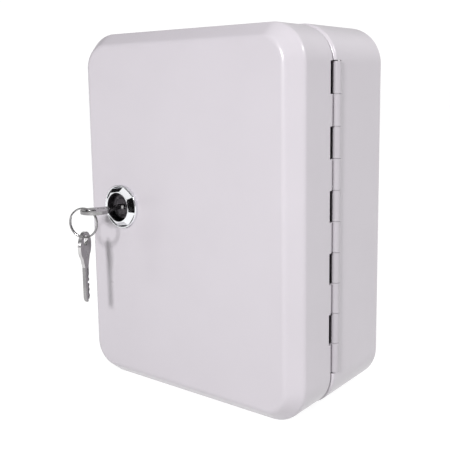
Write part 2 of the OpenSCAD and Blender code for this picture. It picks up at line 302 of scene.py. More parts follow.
def lathe(name, profile, x=0.0, y=0.0, steps=72, closed=False):
    """Solid of revolution about the line through (x, y) along z. The profile is a list of (r, z)."""
    bm = bmesh.new()
    rows = []
    for k in range(steps):
        a = 2 * math.pi * k / steps
        rows.append([bm.verts.new((x + r * math.cos(a), y + r * math.sin(a), z)) for r, z in profile])
    count = len(profile) if closed else len(profile) - 1
    for row, following in zip(rows, rows[1:] + rows[:1]):
        for i in range(count):
            j = (i + 1) % len(profile)
            bm.faces.new((row[i], following[i], following[j], row[j]))
    return piece_from(bm, name)


def turned(piece, *matrices):
    """Transforms the mesh by each matrix, the last one first."""
    whole = Matrix.Identity(4)
    for matrix in matrices:
        whole = whole @ matrix
    piece.data.transform(whole)
    return piece


def at_lock(piece):
    """Moves a mesh that is drawn about the lock's axis to the lock's place on the door."""
    return turned(piece, Matrix.Translation((lock_x, lock_y, 0)))


def soften(piece, width, segments=2, angle=30):
    """Rounds every edge sharper than the angle."""
    modifier = piece.modifiers.new("soften", "BEVEL")
    modifier.width = width
    modifier.segments = segments
    modifier.limit_method = "ANGLE"
    modifier.angle_limit = math.radians(angle)
    modifier.miter_outer = "MITER_ARC"
    settle(piece)
    return piece


def smooth(piece, angle=38):
    """Smooth shading that keeps flat faces flat."""
    piece.data.polygons.foreach_set("use_smooth", [True] * len(piece.data.polygons))
    piece.data.set_sharp_from_angle(angle=math.radians(angle))
    modifier = piece.modifiers.new("normals", "WEIGHTED_NORMAL")
    modifier.keep_sharp = True


def place(piece, body, material, slot, *stands_for):
    """Turns a finished mesh into the row frame and hands it to its body."""
    piece.data.transform(STAND)
    smooth(piece)
    piece.data.materials.clear()
    piece.data.materials.append(material)
    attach(piece, body)
    if stands_for:
        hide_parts(*stands_for)
    return piece


# ---- Materials ----


class Nodes:
    """A Principled material that is being put together."""

    def __init__(self, name, base, roughness, metallic=0.0, **sockets):
        """Starts from plain values. Further sockets go by name, with _ for a space."""
        self.material = bpy.data.materials.new(name)
        self.material.use_nodes = True
        self.tree = self.material.node_tree
        self.shader = self.tree.nodes["Principled BSDF"]
        self.shader.inputs["Base Color"].default_value = (*base, 1.0)
        self.shader.inputs["Roughness"].default_value = roughness
        self.shader.inputs["Metallic"].default_value = metallic
        for socket, value in sockets.items():
            self.shader.inputs[socket.replace("_", " ")].default_value = value
        self.where = self.tree.nodes.new("ShaderNodeTexCoord").outputs["Object"]

    def link(self, a, b):
        """Joins an output to an input."""
        self.tree.links.new(a, b)

    def stretched(self, scale):
        """Object coordinates scaled along each axis, for marks that run one way."""
        node = self.tree.nodes.new("ShaderNodeMapping")
        node.inputs["Scale"].default_value = scale
        self.link(self.where, node.inputs["Vector"])
        return node.outputs["Vector"]

    def noise(self, scale, detail, where=None):
        """Noise with the given features per metre and levels of detail."""
        node = self.tree.nodes.new("ShaderNodeTexNoise")
        node.inputs["Scale"].default_value = scale
        node.inputs["Detail"].default_value = detail
        self.link(where or self.where, node.inputs["Vector"])
        return node.outputs["Fac"]

    def ranged(self, value, low, high, from_low=0.3, from_high=0.7):
        """The value stretched from one range to another and held at its ends."""
        node = self.tree.nodes.new("ShaderNodeMapRange")
        node.inputs["From Min"].default_value = from_low
        node.inputs["From Max"].default_value = from_high
        node.inputs["To Min"].default_value = low
        node.inputs["To Max"].default_value = high
        self.link(value, node.inputs["Value"])
        return node.outputs["Result"]

    def mixed(self, share, a, b):
        """Colour between a and b, by the share of b."""
        node = self.tree.nodes.new("ShaderNodeMix")
        node.data_type = "RGBA"
        for socket, colour in (("A", a), ("B", b)):
            target = [s for s in node.inputs if s.name == socket and s.type == "RGBA"][0]
            target.default_value = (*colour, 1.0)
        self.link(share, node.inputs["Factor"])
        return [s for s in node.outputs if s.type == "RGBA"][0]

    def bump(self, height, strength, distance, under=None):
        """Bumps the surface by a height, on top of another bump if one is given."""
        node = self.tree.nodes.new("ShaderNodeBump")
        node.inputs["Strength"].default_value = strength
        node.inputs["Distance"].default_value = distance
        self.link(height, node.inputs["Height"])
        if under is not None:
            self.link(under, node.inputs["Normal"])
        self.link(node.outputs["Normal"], self.shader.inputs["Normal"])
        return node.outputs["Normal"]

    def colour(self, output):
        """Uses an output as the base colour."""
        self.link(output, self.shader.inputs["Base Color"])

    def rough(self, output):
        """Uses an output as the roughness."""
        self.link(output, self.shader.inputs["Roughness"])


def scaled(colour, factor):
    """The colour made lighter or darker."""
    return tuple(min(1.0, c * factor) for c in colour)


PAINT = (0.526, 0.496, 0.533)


def powder_coat(name, tone):
    """Lilac-grey powder coat: fine orange peel over a slow waviness, and a faint mottle."""
    n = Nodes(name, scaled(PAINT, tone), 0.29, Specular_IOR_Level=0.5,
              Coat_Weight=0.15, Coat_Roughness=0.14)
    mottle = n.ranged(n.noise(38, 4), 0, 1, 0, 1)
    n.colour(n.mixed(mottle, scaled(PAINT, 0.97 * tone), scaled(PAINT, 1.03 * tone)))
    n.rough(n.ranged(n.noise(60, 2), 0.26, 0.32, 0, 1))
    wave = n.bump(n.noise(14, 1), 0.03, 0.0012)
    n.bump(n.noise(420, 1), 0.035, 0.00012, under=wave)
    return n.material


def zinc():
    """Bright zinc plate with faint crystals and a cool, slightly uneven tint."""
    n = Nodes("zinc_plate", (0.62, 0.62, 0.63), 0.32, metallic=1.0)
    patches = n.ranged(n.noise(160, 4), 0, 1)
    n.colour(n.mixed(patches, (0.55, 0.56, 0.58), (0.68, 0.675, 0.66)))
    n.rough(n.ranged(n.noise(420, 3), 0.24, 0.42))
    n.bump(n.noise(900, 3), 0.12, 0.00006)
    return n.material


def chrome():
    """Polished chrome with hairline polishing marks."""
    n = Nodes("bezel_chrome", (0.83, 0.84, 0.86), 0.06, metallic=1.0)
    n.rough(n.ranged(n.noise(260, 3), 0.04, 0.10))
    marks = n.noise(1, 2, where=n.stretched((900, 900, 6000)))
    n.bump(marks, 0.03, 0.00003)
    return n.material


def dark_plug():
    """Blackened steel of the lock core, rubbed a little brighter in places. It is also laid as painted shade
    in the lock's recess and bead seam.
    """
    n = Nodes("dark_plug", (0.07, 0.065, 0.072), 0.3, metallic=0.85)
    rubbed = n.ranged(n.noise(500, 4), 0, 1, 0.5, 0.8)
    n.colour(n.mixed(rubbed, (0.055, 0.05, 0.056), (0.2, 0.188, 0.202)))
    n.rough(n.ranged(n.noise(900, 3), 0.22, 0.42))
    n.bump(n.noise(1, 2, where=n.stretched((500, 3500, 500))), 0.08, 0.00004)
    return n.material


def brass():
    """Bare brass, a little uneven in colour and shine."""
    n = Nodes("wafer_brass", (0.71, 0.52, 0.22), 0.28, metallic=1.0)
    n.rough(n.ranged(n.noise(700, 3), 0.2, 0.36))
    n.colour(n.mixed(n.ranged(n.noise(300, 3), 0, 1), (0.66, 0.47, 0.2), (0.76, 0.57, 0.26)))
    return n.material


def nickel(name, tone):
    """Nickel plating with fine scratches along and across from use."""
    n = Nodes(name, (tone, tone * 0.985, tone), 0.16, metallic=1.0)
    n.rough(n.ranged(n.noise(320, 4), 0.11, 0.26))
    dull = scaled((1.0, 0.98, 1.0), tone * 0.8)
    clear = scaled((1.0, 0.985, 0.985), tone * 1.17)
    n.colour(n.mixed(n.ranged(n.noise(150, 3), 0, 1), dull, clear))
    across = n.bump(n.noise(1, 2, where=n.stretched((400, 400, 5200))), 0.10, 0.00003)
    n.bump(n.noise(1, 2, where=n.stretched((4200, 4200, 500))), 0.07, 0.00003, under=across)
    return n.material


def card():
    """Uncoated card with paper fibres."""
    n = Nodes("card", (0.83, 0.82, 0.78), 0.8, Specular_IOR_Level=0.3)
    n.colour(n.mixed(n.ranged(n.noise(900, 5), 0, 1), (0.79, 0.78, 0.74), (0.86, 0.85, 0.81)))
    n.rough(n.ranged(n.noise(1500, 2), 0.74, 0.88))
    n.bump(n.noise(2600, 4), 0.25, 0.00004)
    return n.material


def ink():
    """Black print that the card's fibres show through."""
    n = Nodes("print_ink", (0.03, 0.03, 0.035), 0.55, Specular_IOR_Level=0.35)
    n.colour(n.mixed(n.ranged(n.noise(2600, 4), 0, 1), (0.02, 0.02, 0.024), (0.055, 0.055, 0.06)))
    n.rough(n.ranged(n.noise(1800, 2), 0.5, 0.65))
    return n.material


PAINTED = powder_coat("powder_coat", 1.0)
# Darker copy of the powder coat for the hinge: painted shade on its barrels and leaves
HINGE_SHADED_COAT = powder_coat("hinge_coat_shaded", 0.8)
ZINC = zinc()
CHROME = chrome()
DARK = dark_plug()
BRASS = brass()
NICKEL = nickel("key_nickel", 0.30)
# Lighter copy of the key nickel: a painted highlight on the hanging key's bow rim
LIT_RIM_NICKEL = nickel("rim_highlight_nickel", 0.54)
CARD = card()
INK = ink()


# ---- Shells ----


def pan(name, w, h, r, path, radii, side):
    """A sheet pan: its section, which starts on a corner's axis, swept round a rounded rectangle.
    The sheet's thickness lies to the path's left for side 1 and to its right for side -1."""
    inner = bent(moved_path(path, side * SHEET), [q - SHEET for q in radii])
    profile = bent(path, radii) + inner[::-1]
    dx = w / 2 - r
    dy = h / 2 - r
    bm = bmesh.new()
    rows = []
    for cx, cy, start in ((dx, dy, 0), (-dx, dy, 90), (-dx, -dy, 180), (dx, -dy, 270)):
        for k in range(CORNER_STEPS + 1):
            a = math.radians(start + 90 * k / CORNER_STEPS)
            row = [(cx + p.x * math.cos(a), cy + p.x * math.sin(a), p.y) for p in profile]
            rows.append([bm.verts.new(point) for point in row])
    for row, following in zip(rows, rows[1:] + rows[:1]):
        for i in range(len(profile) - 1):
            bm.faces.new((row[i], following[i], following[i + 1], row[i + 1]))
    for end in (0, -1):
        bm.faces.new([rows[k * (CORNER_STEPS + 1)][end] for k in range(4)])
    return piece_from(bm, name)


def hinge_slot(x_high, z_low, z_high):
    """Block that clears the hinge's whole length inward from x_high."""
    return block(x_high - SLOT_X, hinge_bottom - SLOT_END, z_low,
                 x_high, hinge_bottom + hinge_len + SLOT_END, z_high)


def knuckle_notches(first, x_low, x_high, z_low, z_high):
    """One block at every second knuckle, for the room the other leaf's knuckles need."""
    notches = []
    for i in range(first, KNUCKLES, 2):
        start = hinge_bottom + i * knuckle_pitch - NOTCH_GAP
        end = start + knuckle_pitch + 2 * NOTCH_GAP
        notches.append(block(x_low, start, z_low, x_high, end, z_high))
    return notches


def body_pan():
    """Drawn body with its return flange, the hinge's slot, wall holes and rivet holes."""
    path = [(0, 0), (CORNER_R, 0), (CORNER_R, body_rim), (CORNER_R - BODY_FLANGE, body_rim)]
    piece = pan("body_pan", cabinet_w, cabinet_h, CORNER_R, path, BODY_BENDS, 1)
    cutters = [hinge_slot(body_high.x + 1, body_edge, body_rim + 1)]
    for x in (-WALL_HOLE_X, WALL_HOLE_X):
        for y in (-WALL_HOLE_Y, WALL_HOLE_Y):
            cutters.append(prism("hole", circle(x, y, WALL_HOLE_R, 40), [], -1, SHEET + 1))
    for low, high in bars:
        for x in (-RIVET_X, RIVET_X):
            cutters.append(prism("hole", circle(x, (low.y + high.y) / 2, RIVET_R, 24), [], -1, SHEET + 1))
    combine(piece, cutters)
    soften(piece, 0.22)
    return place(piece, "cabinet", PAINTED, "powder_coat", "body_shell")


def flatted(r, half, steps=96):
    """Circle of the lock barrel with its two flats."""
    return [(x, max(-half, min(half, y))) for x, y in circle(0, 0, r, steps)]


def door_pan():
    """Drawn door with its bevel, the lock's hole and an edge cut back for the hinge."""
    path = [(0, face_z), (door_r - BEVEL_W, face_z), (door_r, face_z - BEVEL_DEPTH),
            (door_r, door_rim), (door_r - DOOR_FLANGE, door_rim)]
    piece = pan("door_pan", door_w, door_h, door_r, path, DOOR_BENDS, -1)
    hole = flatted(THREAD_R + DOOR_HOLE_GAP, FLAT_HALF + DOOR_HOLE_GAP)
    hole = [(lock_x + x, lock_y + y) for x, y in hole]
    cutters = [hinge_slot(door_high.x - SHEET, door_rim - 1, door_rim + DOOR_FLANGE_CUT),
               hinge_slot(door_high.x + 1, door_rim - 1, door_rim + DOOR_EDGE_CUT),
               prism("hole", hole, [], face_z - SHEET - 1, face_z + 1)]
    cutters += knuckle_notches(1, door_high.x - SLOT_X, door_high.x + 1, door_rim - 1, door_rim + DOOR_NOTCH)
    combine(piece, cutters)
    soften(piece, 0.2)
    return place(piece, "door", PAINTED, "powder_coat", "door_shell")


# ---- Hinge ----


def hinge_leaf(name, first, x_low, z_low, z_high, bore_r):
    """Leaf flat against its wall, with a rolled knuckle at every second place from the first.
    The leaf is notched where the other leaf's knuckles are."""
    plate = block(x_low, hinge_bottom, z_low, x_low + LEAF_T, hinge_bottom + hinge_len, z_high)
    plate.name = name
    parts = []
    lie = Matrix.Rotation(math.radians(-90), 4, "X")
    for i in range(first, KNUCKLES, 2):
        start = hinge_bottom + i * knuckle_pitch + KNUCKLE_GAP / 2
        length = knuckle_pitch - KNUCKLE_GAP
        barrel = prism("barrel", circle(0, 0, BARREL_R, 48), [circle(0, 0, bore_r, 32)], 0, length)
        parts.append(turned(barrel, Matrix.Translation((hinge_x, start, hinge_z)), lie))
        if z_low > hinge_z:
            web = (hinge_z + (bore_r + BARREL_R) / 2, z_low + 0.1)
        else:
            web = (z_high - 0.1, hinge_z - (bore_r + BARREL_R) / 2)
        parts.append(block(x_low, start, web[0], x_low + LEAF_T, start + length, web[1]))
    edge = (z_low - 1, z_low + LEAF_NOTCH) if z_low > hinge_z else (z_high - LEAF_NOTCH, z_high + 1)
    combine(plate, knuckle_notches(1 - first, x_low - 1, x_low + LEAF_T + 1, *edge))
    combine(plate, parts, "UNION")
    return soften(plate, 0.14)


def hinge():
    """Both leaves and the pin, which has domed ends."""
    leaf_low = box_mm("hinge_leaf_body")[0].z
    leaf = hinge_leaf("hinge_leaf_of_body", 1, body_high.x - SHEET - LEAF_T, leaf_low, body_edge, pin_r)
    place(leaf, "cabinet", HINGE_SHADED_COAT, "powder_coat", "hinge_leaf_body")
    leaf_high = box_mm("hinge_leaf_door")[1].z
    leaf = hinge_leaf("hinge_leaf_of_door", 0, door_high.x - SHEET - LEAF_T, door_rim, leaf_high,
                      pin_r + LEAF_BORE_GAP)
    place(leaf, "door", HINGE_SHADED_COAT, "powder_coat", "hinge_leaf_door")
    dome = [(0, 0), (pin_r * 0.6, 0.05), (pin_r * 0.9, 0.25), (pin_r, 0.6)]
    profile = dome + [(r, hinge_len - z) for r, z in dome[::-1]]
    pin = lathe("hinge_rod", profile, steps=32)
    turned(pin, Matrix.Translation((hinge_x, hinge_bottom, hinge_z)),
           Matrix.Rotation(math.radians(-90), 4, "X"))
    place(pin, "cabinet", ZINC, "zinc_steel", "hinge_pin")


# ---- Lock ----


def facet_plane(k):
    """Point and outward normal of one facet of the head. At the facets' corners it meets the bead's top."""
    low_r = BEAD_IN_R * math.cos(math.pi / FACETS)
    rise = head_top - face_z - BEAD_H
    lean = math.atan2(low_r - HEAD_RING_R, rise)
    turn = Matrix.Rotation(math.radians(FACET_TURN + k * 360 / FACETS), 3, "Z")
    return (turn @ Vector((low_r, 0, face_z + BEAD_H)),
            turn @ Vector((math.cos(lean), 0, math.sin(lean))))


def cut_facets(piece):
    """Cuts the head's flat facets off a plain cylinder."""
    bm = bmesh.new()
    bm.from_mesh(piece.data)
    for k in range(FACETS):
        point, normal = facet_plane(k)
        everything = bm.verts[:] + bm.edges[:] + bm.faces[:]
        made = bmesh.ops.bisect_plane(bm, geom=everything, plane_co=point, plane_no=normal,
                                      clear_outer=True, dist=1e-5)
        edges = [e for e in made["geom_cut"] if isinstance(e, bmesh.types.BMEdge)]
        bmesh.ops.edgenet_fill(bm, edges=edges)
    bmesh.ops.dissolve_limit(bm, angle_limit=math.radians(0.5), verts=bm.verts, edges=bm.edges)
    bmesh.ops.recalc_face_normals(bm, faces=bm.faces)
    bm.to_mesh(piece.data)
    bm.free()


def lock_head():
    """Chromed head: a round bead at the foot, flat facets and a ring round the recess."""
    outer = [(0, face_z), (BEAD_IN_R, face_z), (BEAD_IN_R, head_top), (0, head_top)]
    piece = lathe("lock_bezel", outer, steps=HEAD_STEPS)
    cut_facets(piece)
    soften(piece, 0.08, 1, 10)
    middle = (bezel_r + BEAD_IN_R) / 2
    round_r = (bezel_r - BEAD_IN_R) / 2
    top = [(middle + x, face_z + BEAD_H - round_r + z) for x, z in arc(0, 0, round_r, 0, 180, 12)]
    foot = [(BEAD_IN_R - 0.5, face_z), (bezel_r - 0.15, face_z), (bezel_r, face_z + 0.15)]
    back = [(BEAD_IN_R, face_z + 0.2), (BEAD_IN_R - 0.5, face_z + 0.2)]
    bead = lathe("bead", foot + top + back, steps=HEAD_STEPS, closed=True)
    combine(piece, [bead], "UNION")
    rim_r = RECESS_R + 0.35
    mouth = [(RECESS_R, head_top - 0.35), (RECESS_R + 0.12, head_top - 0.12), (rim_r, head_top + 0.02)]
    bore = [(0, recess_floor), (RECESS_R, recess_floor), *mouth, (rim_r, head_top + 1), (0, head_top + 1)]
    plug_bore = [(0, face_z - 1), (PLUG_BORE_R, face_z - 1), (PLUG_BORE_R, head_top), (0, head_top)]
    combine(piece, [lathe("bore", bore, steps=HEAD_STEPS), lathe("bore", plug_bore, steps=96)])
    at_lock(piece)
    place(piece, "door", CHROME, "bezel_chrome", "lock_housing")


def lock_linings():
    """Painted shade: thin dark sheets in the head's recess and on the inner side of its bead, where shade
    falls.
    """
    skin = 0.12
    hole_r = FLANGE_R + 0.03
    throat = [(hole_r, recess_floor), (RECESS_R, recess_floor), (RECESS_R, head_top - 0.5),
              (RECESS_R - skin, head_top - 0.6), (RECESS_R - skin, recess_floor + skin),
              (hole_r, recess_floor + skin)]
    seam_in = BEAD_IN_R - 0.35
    seam_out = BEAD_IN_R + 0.05
    seam_low = face_z + 0.3
    seam_top = face_z + BEAD_H - 0.25
    seam = [(seam_in, seam_low), (seam_out, seam_low), (seam_out, seam_top), (seam_in, seam_top)]
    for name, profile in (("lock_throat_shade", throat), ("lock_seam_shade", seam)):
        lining = lathe(name, profile, steps=HEAD_STEPS, closed=True)
        at_lock(lining)
        place(lining, "door", DARK, "dark_plug", "lock_housing")


def lock_thread():
    """Threaded barrel with two flats, behind the head, with the plug's bore and the flange's recess."""
    steps = 96
    z_steps = 120
    run_out = 0.9
    bm = bmesh.new()
    rows = []
    for j in range(z_steps + 1):
        z = barrel_end + (face_z - barrel_end) * j / z_steps
        row = []
        for k in range(steps):
            turn = k / steps
            phase = ((z - barrel_end) / THREAD_PITCH - turn) % 1.0
            ridge = min(1.0, max(0.0, 1.35 - 2.7 * abs(phase - 0.5)))
            fade = min(1.0, (z - barrel_end) / run_out)
            r = THREAD_R - THREAD_DEPTH * (1 - ridge * fade)
            x = r * math.cos(2 * math.pi * turn)
            y = max(-FLAT_HALF, min(FLAT_HALF, r * math.sin(2 * math.pi * turn)))
            row.append(bm.verts.new((x, y, z)))
        rows.append(row)
    for row, following in zip(rows, rows[1:]):
        for k in range(steps):
            m = (k + 1) % steps
            bm.faces.new((row[k], row[m], following[m], following[k]))
    recess_r = RECESS_R - 0.1
    bore = [(PLUG_BORE_R, barrel_end), (PLUG_BORE_R, recess_floor),
            (recess_r, recess_floor), (recess_r, face_z)]
    inner = [[bm.verts.new((x, y, z)) for x, y in circle(0, 0, r, steps)] for r, z in bore]
    for k in range(steps):
        m = (k + 1) % steps
        for ring, following in zip(inner, inner[1:]):
            bm.faces.new((ring[m], ring[k], following[k], following[m]))
        bm.faces.new((rows[0][m], rows[0][k], inner[0][k], inner[0][m]))
        bm.faces.new((rows[-1][k], rows[-1][m], inner[-1][m], inner[-1][k]))
    piece = piece_from(bm, "lock_thread")
    at_lock(piece)
    place(piece, "door", ZINC, "zinc_steel", "lock_housing")


def fasteners():
    """Toothed washer and chamfered nut behind the door's face."""
    low, high = box_mm("lock_washer")
    r = (high.x - low.x) / 2
    teeth = 24
    outline = []
    for k in range(teeth):
        step = 360 / teeth
        outline += arc(0, 0, r, k * step, (k + 0.45) * step, 2)
        outline += arc(0, 0, r - 0.9, (k + 0.55) * step, (k + 0.9) * step, 1)
    piece = prism("star_washer", outline, [circle(0, 0, THREAD_R + 0.1, 64)], low.z, high.z)
    soften(piece, 0.06, 1)
    at_lock(piece)
    place(piece, "door", ZINC, "zinc_steel", "lock_washer")

    low, high = box_mm("lock_nut")
    hexagon = circle(0, 0, NUT_FLATS / 2 / math.cos(math.radians(30)), 6)
    piece = prism("hex_nut", hexagon, [circle(0, 0, THREAD_R + 0.05, 64)], low.z, high.z)
    reach = NUT_FLATS / 2 + 0.2
    chamfer = [(reach - 0.6, low.z - 0.01), (20, low.z - 0.01), (20, high.z + 0.01),
               (reach - 0.6, high.z + 0.01), (reach + 2.2, high.z - 1.1), (reach + 2.2, low.z + 1.1)]
    combine(piece, [lathe("chamfer", chamfer, steps=96, closed=True)])
    soften(piece, 0.12)
    at_lock(piece)
    place(piece, "door", ZINC, "zinc_steel", "lock_nut")


def plug():
    """Plug with its flange in the recess, keyway, wafer slots and a square tail."""
    core = [(0, barrel_end), (PLUG_R - 0.3, barrel_end), (PLUG_R, barrel_end + 0.3)]
    flange = [(PLUG_R, plug_face - FLANGE_H), (FLANGE_R, plug_face - FLANGE_H),
              (FLANGE_R, plug_face - 0.5), (FLANGE_R - 0.5, plug_face)]
    groove = [(5.7, plug_face), (5.3, plug_face - 0.4), (4.9, plug_face - 0.4), (4.5, plug_face)]
    piece = lathe("plug_core", core + flange + groove + [(0, plug_face)], steps=96)
    keyway_floor = bow_tip - KEY_LEN - 0.7
    half_w = KEYWAY[0] / 2
    half_t = KEYWAY[1] / 2
    tail = block(-TAIL_HALF, -TAIL_HALF, plug_low.z, TAIL_HALF, TAIL_HALF, barrel_end + 0.5)
    combine(piece, [tail], "UNION")
    cutters = [block(-half_w, -half_t, keyway_floor, half_w, half_t, plug_face + 1),
               prism("hole", circle(0, 0, 1.75, 24), [], plug_low.z - 1, plug_low.z + 9)]
    for middle in wafer_middles:
        cutters.append(block(-10, -2.65, middle - 0.5, 10, 2.65, middle + 0.5))
    combine(piece, cutters)
    soften(piece, 0.12)
    at_lock(piece)
    place(piece, "plug", DARK, "dark_plug", "lock_plug")


def wafers():
    """Flat wafers in the plug's slots, each with a window for the key."""
    outline = rounded_rect(-5.9, -2.5, 5.9, 2.5, 0.4, 3)
    window = rounded_rect(-3.25, -1.25, 3.25, 1.25, 0.2, 2)
    half_t = 0.4
    stack = []
    for middle in wafer_middles:
        wafer = prism("lock_wafer_stack", outline, [window], middle - half_t, middle + half_t)
        stack.append(soften(wafer, 0.06, 1))
    piece = combine(stack[0], stack[1:], "UNION")
    at_lock(piece)
    place(piece, "plug", BRASS, "wafer_brass", "lock_wafers")


def cam_stack():
    """Stop washer, cam and screw on the plug's tail."""
    half = TAIL_HALF + 0.05
    square = rounded_rect(-half, -half, half, half, 0.2, 2)
    low, high = box_mm("stop_washer")
    disc_r = 8
    tab_half = 3
    tab_end = 10
    meet = math.degrees(math.asin(tab_half / disc_r))
    outline = arc(0, 0, disc_r, meet, 360 - meet, 64) + [(tab_end, -tab_half), (tab_end, tab_half)]
    piece = prism("stop_disc", outline, [square], low.z, high.z)
    soften(piece, 0.15)
    at_lock(piece)
    place(piece, "plug", ZINC, "zinc_steel", "stop_washer")

    low, high = box_mm("lock_cam")
    half_w = 6.0
    tip_y = high.y - lock_y - half_w
    hub_r = 7.5
    meet = math.degrees(math.acos(half_w / hub_r))
    outline = arc(0, tip_y, half_w, 0, 180, 24) + arc(0, 0, hub_r, 180 - meet, 360 + meet, 48)
    piece = prism("cam_plate", outline, [square], low.z, high.z)
    soften(piece, 0.25)
    at_lock(piece)
    place(piece, "plug", ZINC, "zinc_steel", "lock_cam")

    low, high = box_mm("cam_screw")
    head_r = (high.x - low.x) / 2
    shank_r = 1.7
    cam_low = box_mm("lock_cam")[0].z
    dome = [(0, low.z), (head_r * 0.55, low.z + 0.08), (head_r * 0.85, low.z + 0.5), (head_r, low.z + 1.3)]
    shank = [(head_r, cam_low), (shank_r, cam_low), (shank_r, high.z), (0, high.z)]
    piece = lathe("cam_bolt", dome + shank, steps=48)
    slots = []
    for turn in (0, 90):
        slot = block(-2.6, -0.5, low.z - 1, 2.6, 0.5, low.z + 1.2)
        slots.append(turned(slot, Matrix.Rotation(math.radians(turn), 4, "Z")))
    combine(piece, slots)
    soften(piece, 0.08)
    at_lock(piece)
    place(piece, "plug", ZINC, "zinc_steel", "cam_screw")


def catch():
    """Bent bracket behind the left flange."""
    low, high = box_mm("lock_catch")
    t = 1.2
    leg = high.x - 10.0
    back = low.z
    path = [(low.x, back), (leg, back), (leg, high.z - t), (high.x, high.z - t)]
    section = bent(path, [1.6, 0.6], 6) + bent(moved_path(path, t), [0.4, 1.8], 6)[::-1]
    piece = prism("catch_bracket", [(p.x, p.y) for p in section], [], -high.y, -low.y)
    turned(piece, Matrix.Rotation(math.radians(90), 4, "X"))
    soften(piece, 0.15)
    place(piece, "cabinet", ZINC, "zinc_steel", "lock_catch")


# ---- Inside ----


def hook_section():
    """Section of a hook in (z, y): out of the plate, forward and up, with a rounded root."""
    path = [(HOOK_Z, HOOK_TOP), (HOOK_Z, HOOK_BOTTOM), (SHEET, HOOK_BOTTOM)]
    outer = bent(path, [2.0], 8)
    inner = bent(moved_path(path, -BAR_T), [0.8], 8)
    tip = arc(HOOK_Z - BAR_T / 2, HOOK_TOP - BAR_T / 2, BAR_T / 2, 0, 180, 8)
    root = [(SHEET + BAR_T + 0.9, HOOK_BOTTOM), (SHEET + BAR_T + 0.25, HOOK_BOTTOM - 0.25),
            (SHEET + BAR_T, HOOK_BOTTOM - 0.9), (SHEET + 0.3, HOOK_BOTTOM - 0.9)]
    back = [(SHEET + 0.02, HOOK_BOTTOM + 0.2), (SHEET + 0.4, HOOK_BOTTOM + 0.85),
            (SHEET + 1.1, HOOK_BOTTOM + BAR_T)]
    near = [(p.x, p.y) for p in outer[1:-1]]
    far = [(p.x, p.y) for p in inner[1:-1]]
    return near + root + back + far[::-1] + tip[::-1]


def hook_bar(row):
    """Bar with a hook bent out of each of its windows."""
    low, high = bars[row]
    middle = (low.y + high.y) / 2
    holes = [circle(x, 0, RIVET_R, 24) for x in (-RIVET_X, RIVET_X)]
    holes += [rounded_rect(x - 2.6, -4.0, x + 2.6, 2.0, 0.5, 3) for x in hook_places]
    half_h = (high.y - low.y) / 2
    bar = prism(f"hook_rail_{row + 1}", rounded_rect(low.x, -half_h, high.x, half_h, 1.6),
                holes, SHEET, SHEET + BAR_T)
    outline = hook_section()
    hooks = []
    for x in hook_places:
        hook = prism("hook", outline, [], x - HOOK_W / 2, x + HOOK_W / 2)
        # (z, y) drawn flat and raised along x
        hooks.append(turned(hook, Matrix(((0, 0, 1, 0), (0, 1, 0, 0), (1, 0, 0, 0), (0, 0, 0, 1)))))
    for hook in hooks:
        hook.data.flip_normals()
    combine(bar, hooks, "UNION")
    soften(bar, 0.16)
    turned(bar, Matrix.Translation((0, middle, 0)))
    place(bar, "cabinet", PAINTED, "powder_coat", f"hook_bar_{row + 1}")


def rivets():
    """Domed rivets that hold the bars on the back."""
    top = SHEET + BAR_T
    head = [(0, top + 0.9), (1.2, top + 0.84), (2.2, top + 0.6), (2.8, top + 0.25), (3.0, top)]
    profile = [(0, 0), (RIVET_R, 0), (RIVET_R, top)] + head[::-1]
    made = []
    for low, high in bars:
        for x in (-RIVET_X, RIVET_X):
            made.append(lathe("rivet_heads", profile, x, (low.y + high.y) / 2, steps=36))
    place(combine(made[0], made[1:], "UNION"), "cabinet", ZINC, "zinc_steel", "bar_rivets")


def number_print(number, x, y, z):
    """Mesh of one number, centred on a point."""
    curve = bpy.data.curves.new("number", "FONT")
    curve.body = str(number)
    curve.size = 4.2
    curve.align_x = "CENTER"
    curve.align_y = "CENTER"
    curve.extrude = 0.01
    curve.resolution_u = 3
    text = bpy.data.objects.new("number", curve)
    bpy.context.scene.collection.objects.link(text)
    graph = bpy.context.evaluated_depsgraph_get()
    mesh = bpy.data.meshes.new_from_object(text.evaluated_get(graph), depsgraph=graph)
    bpy.data.objects.remove(text)
    mesh.transform(Matrix.Translation((x, y, z)))
    return mesh


def strips():
    """Number strip over each bar's hooks, with plain running numbers."""
    low, high = box_mm("number_strips")
    made = []
    prints = []
    strip_h = 5.0
    number = 1
    for bar in bars:
        top = bar[1].y - 0.2
        outline = rounded_rect(low.x, top - strip_h, high.x, top, 0.5, 3)
        made.append(prism("number_cards", outline, [], low.z, high.z - 0.02))
        for x in hook_places:
            prints.append(number_print(number, x, top - strip_h / 2, high.z - 0.01))
            number += 1
    place(combine(made[0], made[1:], "UNION"), "cabinet", CARD, "card", "number_strips")
    bm = bmesh.new()
    for mesh in prints:
        bm.from_mesh(mesh)
    place(piece_from(bm, "strip_numbers"), "cabinet", INK, "card")


def index():
    """Index card inside the door's face, with ruled lines."""
    low, high = box_mm("index_card")
    piece = prism("index_sheet", rounded_rect(low.x, low.y, high.x, high.y, 2.0), [], low.z, high.z)
    place(piece, "door", CARD, "card", "index_card")
    line = 0.25
    rows = 20
    step = 5.4
    left = low.x + 4
    right = high.x - 4
    top = high.y - 8
    rules = []
    for k in range(rows + 1):
        y = top - k * step
        rules.append((left, y, right, y + line))
    for x in (left, left + 12, right - line):
        rules.append((x, top - rows * step, x + line, top))
    bm = bmesh.new()
    for x0, y0, x1, y1 in rules:
        verts = [bm.verts.new((x, y, low.z - 0.01)) for x, y in ((x0, y0), (x0, y1), (x1, y1), (x1, y0))]
        bm.faces.new(verts)
    lines = piece_from(bm, "index_rules")
    thick = lines.modifiers.new("thick", "SOLIDIFY")
    thick.thickness = 0.02
    thick.offset = 0
    settle(lines)
    place(lines, "door", INK, "card")


# ---- Keys ----


